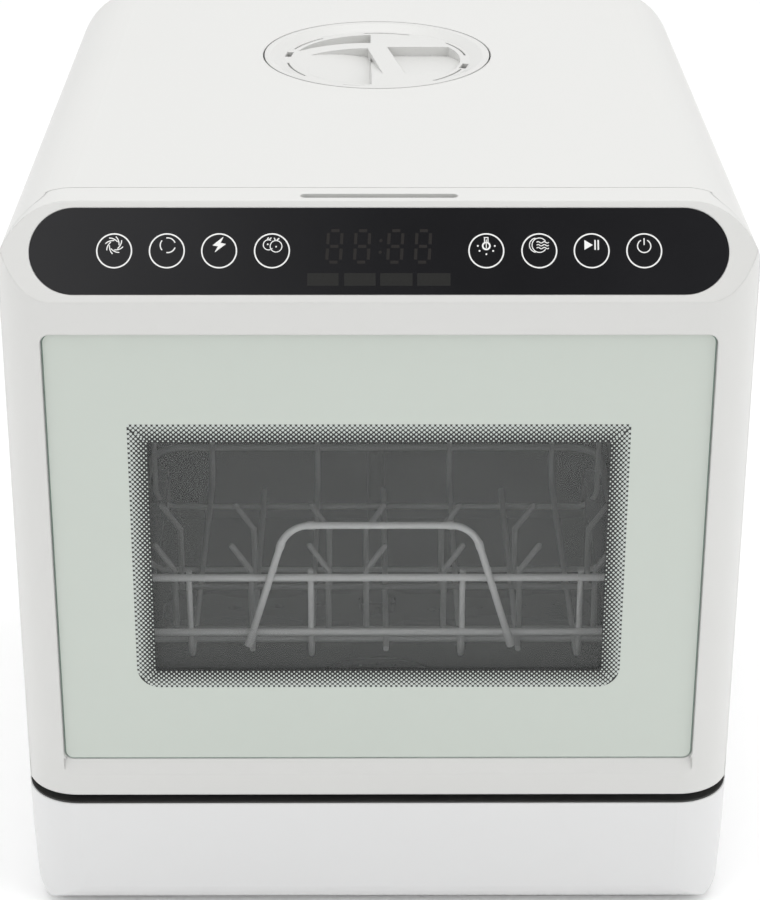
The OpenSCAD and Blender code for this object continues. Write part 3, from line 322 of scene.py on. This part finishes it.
# Window glass: its grey base colour at low alpha lays a painted reflection, a light veil, over the dark
# inside
window_glass_painted_veil = clear_glass("window_glass_painted_veil", (0.27, 0.28, 0.275), alpha=0.13, rough=0.03)
glass_edge = clear_glass("glass_edge", (0.30, 0.42, 0.36), alpha=0.9, rough=0.2)
print_white = ink("print_white", (0.80, 0.80, 0.79))
segment_dark = ink("segment_dark", (0.013, 0.011, 0.010), 0.3)
bar_dark = ink("bar_dark", (0.012, 0.012, 0.011), 0.3)
rim_grey = rubber("rim_grey", (0.30, 0.33, 0.31), 0.6)

# The tines get the wire coat darkened as painted shade, for the dimmer light deep inside the tub
slots = {s["node"]: s["material_slot"] for s in frame["record"]["subparts"]}
slots["rack_tines"] = "tine_coat_painted_shade"
for name, obj in nodes.items():
    obj.data.materials.clear()
    obj.data.materials.append(M[slots[name]])


# ---------- mesh helpers ----------

def round_rect(half, z0, z1, radii, step=8):
    """Corner points in order: lower left, lower right, upper right, upper left."""
    out = []
    corners = (
        (-half, z0, 1, 1, 180), (half, z0, -1, 1, 270),
        (half, z1, -1, -1, 0), (-half, z1, 1, -1, 90),
    )
    for (cx, cz, sx, sz, start), r in zip(corners, radii):
        for i in range(step + 1):
            a = math.radians(start + 90 * i / step)
            out.append((cx + sx * r + r * math.cos(a), cz + sz * r + r * math.sin(a)))
    return out


def circle(cx, cy, r, n=24):
    return [
        (cx + r * math.cos(2 * math.pi * i / n), cy + r * math.sin(2 * math.pi * i / n))
        for i in range(n)
    ]


class Build:
    """Collects faces with shared corner points, in millimetres measured from the front of the body.

    Each face has the number of its material.
    """

    def __init__(self):
        self.verts, self.faces, self.which, self.seen = [], [], [], {}

    def point(self, p):
        key = tuple(round(c, 5) for c in p)
        if key not in self.seen:
            self.seen[key] = len(self.verts)
            self.verts.append(key)
        return self.seen[key]

    def face(self, points, m=0):
        ids = [self.point(p) for p in points]
        if len(set(ids)) == len(ids) and len(ids) > 2:
            self.faces.append(ids)
            self.which.append(m)

    def area(self, loops, put, m=0, flip=False):
        """A flat area between an outer loop and its holes; put turns (a, b) into a point."""
        flat = [p for loop in loops for p in loop]
        for t in geometry.tessellate_polygon([[Vector((*p, 0)) for p in loop] for loop in loops]):
            a, b, c = (Vector(flat[i]) for i in t)
            turn = (b - a).cross(c - a) > 0
            order = t if turn != flip else t[::-1]
            self.face([put(*flat[i]) for i in order], m)

    def wall(self, loop, put_a, put_b, m=0, flip=False):
        for p, q in zip(loop, loop[1:] + loop[:1]):
            quad = [put_a(*p), put_a(*q), put_b(*q), put_b(*p)]
            self.face(quad[::-1] if flip else quad, m)

    def plate(self, loops, low, high, m=0):
        """A flat plate from loops: low and high put its two faces."""
        self.area(loops, high, m)
        self.area(loops, low, m, True)
        self.wall(loops[0], low, high, m)
        for hole in loops[1:]:
            self.wall(hole, low, high, m, True)

    def made(self, name, body, materials):
        mesh = bpy.data.meshes.new(name)
        mesh.from_pydata([(x * MM, (y + FRONT) * MM, z * MM) for x, y, z in self.verts], [], self.faces)
        for m in materials:
            mesh.materials.append(m)
        mesh.polygons.foreach_set("material_index", self.which)
        mesh.update()
        obj = bpy.data.objects.new(name, mesh)
        bpy.context.scene.collection.objects.link(obj)
        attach(obj, body)
        return obj


# ---------- front glass ----------

def glass_outline(grow=0.0):
    """The outline of the front glass, grown or shrunk all round."""
    return round_rect(GLASS_HALF + grow, GLASS_LOW - grow, GLASS_HIGH + grow, (GLASS_R + grow,) * 4)


def lower_round(half, low, high, radius, step):
    return round_rect(half, low, high, (radius, radius, SQUARE_R, SQUARE_R), step)


frit = lower_round(FRIT_HALF, FRIT_LOW, FRIT_HIGH, FRIT_R, 12)
window = lower_round(WINDOW_HALF, WINDOW_LOW, WINDOW_HIGH, WINDOW_R, 6)


def at_depth(y):
    return lambda x, z: (x, y, z)


def build_pane():
    """The front glass with its painted, printed and clear areas and a fine bevel."""
    paint, print_area, clear, rim = range(4)
    b = Build()
    pane = glass_outline()
    inset = glass_outline(-GLASS_BEVEL)
    for y, flip in ((GLASS_FRONT, False), (GLASS_BACK, True)):
        b.area([inset, frit], at_depth(y), paint, flip)
        b.area([frit, window], at_depth(y), print_area, flip)
        b.area([window], at_depth(y), clear, flip)
    sides = ((GLASS_FRONT, GLASS_FRONT + GLASS_BEVEL, False), (GLASS_BACK, GLASS_BACK - GLASS_BEVEL, True))
    for y0, y1, flip in sides:
        for i in range(len(pane)):
            j = (i + 1) % len(pane)
            quad = [
                (inset[i][0], y0, inset[i][1]), (pane[i][0], y1, pane[i][1]),
                (pane[j][0], y1, pane[j][1]), (inset[j][0], y0, inset[j][1]),
            ]
            b.face(quad[::-1] if flip else quad, rim)
    b.wall(pane, at_depth(GLASS_BACK - GLASS_BEVEL), at_depth(GLASS_FRONT + GLASS_BEVEL), rim)
    # The clear area's material carries a painted reflection veil
    glass = b.made("door_glass_pane", "door",
                   [M["glass_green"], frit_black, window_glass_painted_veil, glass_edge])
    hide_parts("door_glass")


def inside(loop, x, z):
    hit = False
    for (x0, z0), (x1, z1) in zip(loop, loop[1:] + loop[:1]):
        if (z0 > z) != (z1 > z) and x < (x1 - x0) * (z - z0) / (z1 - z0) + x0:
            hit = not hit
    return hit


def dot_places():
    """Centres and radii: staggered rows that run along the border, smaller towards the window."""
    pitch, rows = 2.96, 8
    first_row, row_step = 0.72, 1.36
    first_r, r_step = 0.93, 0.062
    mid_z, half_h = (FRIT_LOW + FRIT_HIGH) / 2, (FRIT_HIGH - FRIT_LOW) / 2
    level = (False, FRIT_HALF, half_h, -0.2)
    upright = (True, half_h, FRIT_HALF, 0.9)
    for turned, long_half, out_half, end_gap in (level, upright):
        for side in (-1, 1):
            for row in range(rows):
                d = first_row + row * row_step
                count = int(long_half / pitch) + 2
                for k in range(-count, count + 1):
                    along = (k + (0.5 if row % 2 else 0)) * pitch
                    if abs(along) > long_half - d - end_gap:
                        continue
                    across = side * (out_half - d)
                    x, z = (across, mid_z + along) if turned else (along, mid_z + across)
                    if inside(frit, x, z):
                        yield x, z, first_r - r_step * row


def build_dots():
    """Pale dots that stand very slightly proud of the printed border."""
    sides, front, back = 10, GLASS_FRONT - 0.04, GLASS_FRONT - 0.001
    b = Build()
    for x, z, r in dot_places():
        ring = circle(x, z, r, sides)
        b.face([at_depth(front)(*p) for p in ring])
        b.wall(ring, at_depth(back), at_depth(front))
    b.made("frit_dots", "door", [frit_pale])


def build_rim():
    """The lip of the seal that shows in the gap round the glass."""
    front, back = 3.5, 6.0
    b = Build()
    b.plate([glass_outline(0.5), glass_outline(0.1)], at_depth(back), at_depth(front))
    b.made("glass_rim", "door", [rim_grey])


# ---------- touch panel ----------

def on_slope(n):
    """Puts (x, along the slope) at height n over the slope, in millimetres."""
    ahead, up = math.cos(SLOPE), math.sin(SLOPE)
    return lambda x, s: (x, s * ahead - n * up, SLOPE_Z + s * up + n * ahead)


def arc(cx, cy, r, a0, a1):
    """Points of an arc, one to every six degrees or so."""
    n = max(2, int(abs(a1 - a0) / 6))
    return [
        (cx + r * math.cos(math.radians(a0 + (a1 - a0) * i / n)),
         cy + r * math.sin(math.radians(a0 + (a1 - a0) * i / n)))
        for i in range(n + 1)
    ]


def stroke(points, width):
    """A closed outline round an open line."""
    left, right = [], []
    for i, p in enumerate(points):
        a = Vector(points[max(0, i - 1)])
        c = Vector(points[min(len(points) - 1, i + 1)])
        d = (c - a).normalized()
        n = Vector((-d.y, d.x)) * width / 2
        left.append(tuple(Vector(p) + n))
        right.append(tuple(Vector(p) - n))
    return right + left[::-1]


def box(x0, s0, x1, s1):
    return [(x0, s0), (x1, s0), (x1, s1), (x0, s1)]


def moved(loop, x, s):
    return [(p[0] + x, p[1] + s) for p in loop]


def ring_loops(cx, cy, r, width, n=24):
    return [circle(cx, cy, r + width / 2, n), circle(cx, cy, r - width / 2, n)]


# Each picture is a list of shapes round its key's middle, each shape an outline with its holes.
# MID_UP is the height of most pictures' middle.
MID_UP = 3.1


def swirl_icon():
    """Eight bent blades."""
    inner, reach, turn, width = 2.6, 2.3, 80, 0.55
    shapes = []
    for k in range(8):
        blade = []
        for t in (0, 0.2, 0.4, 0.6, 0.8, 1):
            r, angle = inner + reach * t * t, math.radians(45 * k + turn * t)
            blade.append((r * math.cos(angle), MID_UP + r * math.sin(angle)))
        shapes.append([stroke(blade, width)])
    return shapes


def turn_icon():
    """Three arcs of a circle."""
    return [[stroke(arc(0.5, MID_UP, 4.1, a, a + 82), 0.6)] for a in (20, 140, 260)]


def bolt_icon():
    """A flash of lightning."""
    return [[[
        (2.3, 7.6), (0.7, 4.4), (3.7, 3.8), (-2.5, -1.0), (-0.7, 2.5), (-3.6, 3.0), (1.9, 7.6),
    ]]]


def fruit_icon():
    """Two round fruits with leaves and a spot on each."""
    leaves = (
        ((-2.6, 6.2), (-1.9, 7.4), 0.6), ((-1.4, 6.3), (-0.3, 7.3), 0.6),
        ((1.7, 6.0), (1.2, 7.2), 0.6), ((2.7, 6.0), (3.9, 7.0), 0.7),
    )
    fruits = [[stroke(arc(-1.9, 3.3, 2.8, 62, 318), 0.5)], ring_loops(2.2, 2.5, 3.2, 0.5)]
    spots = [[circle(2.2, 2.3, 0.45, 10)], [circle(-2.3, 3.6, 0.5, 10)]]
    return fruits + [[stroke([a, b], width)] for a, b, width in leaves] + spots


def bulb_icon():
    """A lamp with a long neck and five dots of light."""
    middle, glow_r, neck, top = 2.7, 4.6, 0.95, 7.3
    shapes = [
        ring_loops(0, middle, 1.95, 0.9),
        [stroke([(-neck, 4.6), (-neck, top)], 0.5)], [stroke([(neck, 4.6), (neck, top)], 0.5)],
        [stroke([(-1.3, 7.35), (1.3, 7.35)], 0.5)], [stroke([(0, 1.5), (0, 6.3)], 0.45)],
    ]
    for degrees in (0, 180, 217, 270, 323):
        a = math.radians(degrees)
        shapes.append([circle(glow_r * math.cos(a), middle + glow_r * math.sin(a), 0.5, 12)])
    return shapes


def dry_icon():
    """Two arcs with three waves of air."""
    width, radius = 0.5, 4.0
    length, swing, steps = 6.6, 0.42, 12
    shapes = [
        [stroke(arc(0.1, MID_UP, radius, 35, 325), width)],
        [stroke(arc(-1.3, MID_UP, radius, 100, 260), width)],
    ]
    for y in (4.7, 3.1, 1.5):
        wave = [
            (-1.4 + length * t / steps, y + swing * math.sin(t / steps * 4 * math.pi))
            for t in range(steps + 1)
        ]
        shapes.append([stroke(wave, width)])
    return shapes


def play_icon():
    """A triangle and two bars."""
    low, high = 0.5, 6.0
    triangle = [(-3.9, low), (0.7, 3.2), (-3.9, high)]
    return [[triangle], [box(1.5, low, 2.3, high)], [box(3.2, low, 4.0, high)]]


def power_icon():
    """An open circle with a stroke in its gap."""
    return [[stroke(arc(0, 2.6, 3.6, 118, 422), 0.6)], [stroke([(0, 3.2), (0, 7.0)], 0.6)]]


KEYS = (
    (-143.5, swirl_icon), (-115, turn_icon), (-86.7, bolt_icon), (-58.1, fruit_icon),
    (58, bulb_icon), (86.7, dry_icon), (115.1, play_icon), (143.6, power_icon),
)


def build_icons():
    """A ring with a picture for each key, printed on the panel."""
    up_slope = 28.8
    ring_low, ring_high = 0.005, 0.05
    icon_low, icon_high = 0.006, 0.055
    ring = ring_loops(0, 0, 9.4, 0.75, 56)
    b = Build()
    for x, icon in KEYS:
        b.plate([moved(loop, x, up_slope) for loop in ring], on_slope(ring_low), on_slope(ring_high))
        for loops in icon():
            b.plate([moved(loop, x, up_slope) for loop in loops], on_slope(icon_low), on_slope(icon_high))
    b.made("panel_icons", "door", [print_white])


def build_display():
    """The switched-off segments and four bars that show faintly under the panel."""
    digit_w, digit_h, width, lean = 7.4, 17.5, 1.7, 0.06
    foot, colon_x, colon_r = 22.5, 0.2, 0.9
    low, high = on_slope(0.004), on_slope(0.02)
    end, middle = 1.4, digit_h / 2
    segment, bar = range(2)
    b = Build()

    def line(x, x0, s0, x1, s1):
        points = [(x + x0 + lean * s0, foot + s0), (x + x1 + lean * s1, foot + s1)]
        b.plate([stroke(points, width)], low, high, segment)

    for x in (-28.5, -13.5, 4.5, 19.5):
        for side in (0, digit_w):
            line(x, side, end, side, middle - 1.2)
            line(x, side, middle + 1.2, side, digit_h - end)
        for up in (0, middle, digit_h):
            line(x, 1.5, up, digit_w - 1.5, up)
    for up in (5.5, 12):
        b.plate([circle(colon_x + lean * up, foot + up, colon_r, 12)], low, high, segment)
    for x0, x1 in ((-39, -22), (-19, -2), (0.5, 18), (20.5, 38.5)):
        b.plate([box(x0, 9.4, x1, 16.4)], low, high, bar)
    b.made("display_segments", "door", [segment_dark, bar_dark])


build_pane()
build_dots()
build_rim()
build_icons()
build_display()


# ---------- floor and light ----------

FLOOR_GAP = 0.0006
FLOOR_X, FLOOR_FRONT, FLOOR_BACK = 12, -8, 16


def build_floor():
    n = Nodes("floor_pale")
    cloud = n.noise(1.2, 2)
    n.base(n.mix(cloud, (0.96, 0.96, 0.96), (0.98, 0.98, 0.98)))
    n.put("Roughness", 0.8)
    mesh = bpy.data.meshes.new("floor")
    corners = [(x, y, 0) for x, y in box(-FLOOR_X, FLOOR_FRONT, FLOOR_X, FLOOR_BACK)]
    mesh.from_pydata(corners, [], [(0, 1, 2, 3)])
    mesh.materials.append(n.material)
    floor = bpy.data.objects.new("floor", mesh)
    floor.location.z = -FLOOR_GAP
    bpy.context.scene.collection.objects.link(floor)


def soft_light(name, place, target, size, power):
    data = bpy.data.lights.new(name, "AREA")
    data.shape = "RECTANGLE"
    data.size, data.size_y = size
    data.energy = power
    light = bpy.data.objects.new(name, data)
    light.location = place
    light.rotation_mode = "QUATERNION"
    light.rotation_quaternion = (Vector(target) - Vector(place)).to_track_quat("-Z", "Y")
    bpy.context.scene.collection.objects.link(light)


def build_world():
    """Even white all round, with a darker patch of ceiling that the sloping panel mirrors."""
    white, patch_grey, strength = (1, 1, 1, 1), (0.10, 0.10, 0.10, 1), 0.87
    world = bpy.data.worlds.new("studio")
    world.use_nodes = True
    tree = world.node_tree
    place = tree.nodes.new("ShaderNodeTexCoord")
    axes = tree.nodes.new("ShaderNodeSeparateXYZ")
    tree.links.new(place.outputs["Generated"], axes.inputs["Vector"])

    def ramp(axis, start, end):
        node = tree.nodes.new("ShaderNodeMapRange")
        node.interpolation_type = "SMOOTHSTEP"
        node.inputs["From Min"].default_value = start
        node.inputs["From Max"].default_value = end
        tree.links.new(axes.outputs[axis], node.inputs["Value"])
        return node.outputs["Result"]

    def times(a, b):
        node = tree.nodes.new("ShaderNodeMath")
        node.operation = "MULTIPLY"
        tree.links.new(a, node.inputs[0])
        tree.links.new(b, node.inputs[1])
        return node.outputs["Value"]

    patch = times(times(ramp("Y", -0.35, -0.6), ramp("Z", 0.5, 0.64)), ramp("X", -0.2, 0.04))
    mix = tree.nodes.new("ShaderNodeMix")
    mix.data_type = "RGBA"
    mix.inputs[MIX_A].default_value = white
    mix.inputs[MIX_B].default_value = patch_grey
    tree.links.new(patch, mix.inputs["Factor"])
    sky = tree.nodes["Background"]
    tree.links.new(mix.outputs[MIX_OUT], sky.inputs["Color"])
    sky.inputs["Strength"].default_value = strength
    bpy.context.scene.world = world


build_floor()
build_world()
soft_light("over", (0.0, 0.3, 2.6), (0, 0, 0.3), (2.4, 2.0), 26)
soft_light("left", (-2.0, -1.6, 1.5), (0, 0, 0.25), (1.4, 1.6), 10)
soft_light("right", (2.2, -1.2, 1.6), (0, 0, 0.25), (1.4, 1.6), 16)
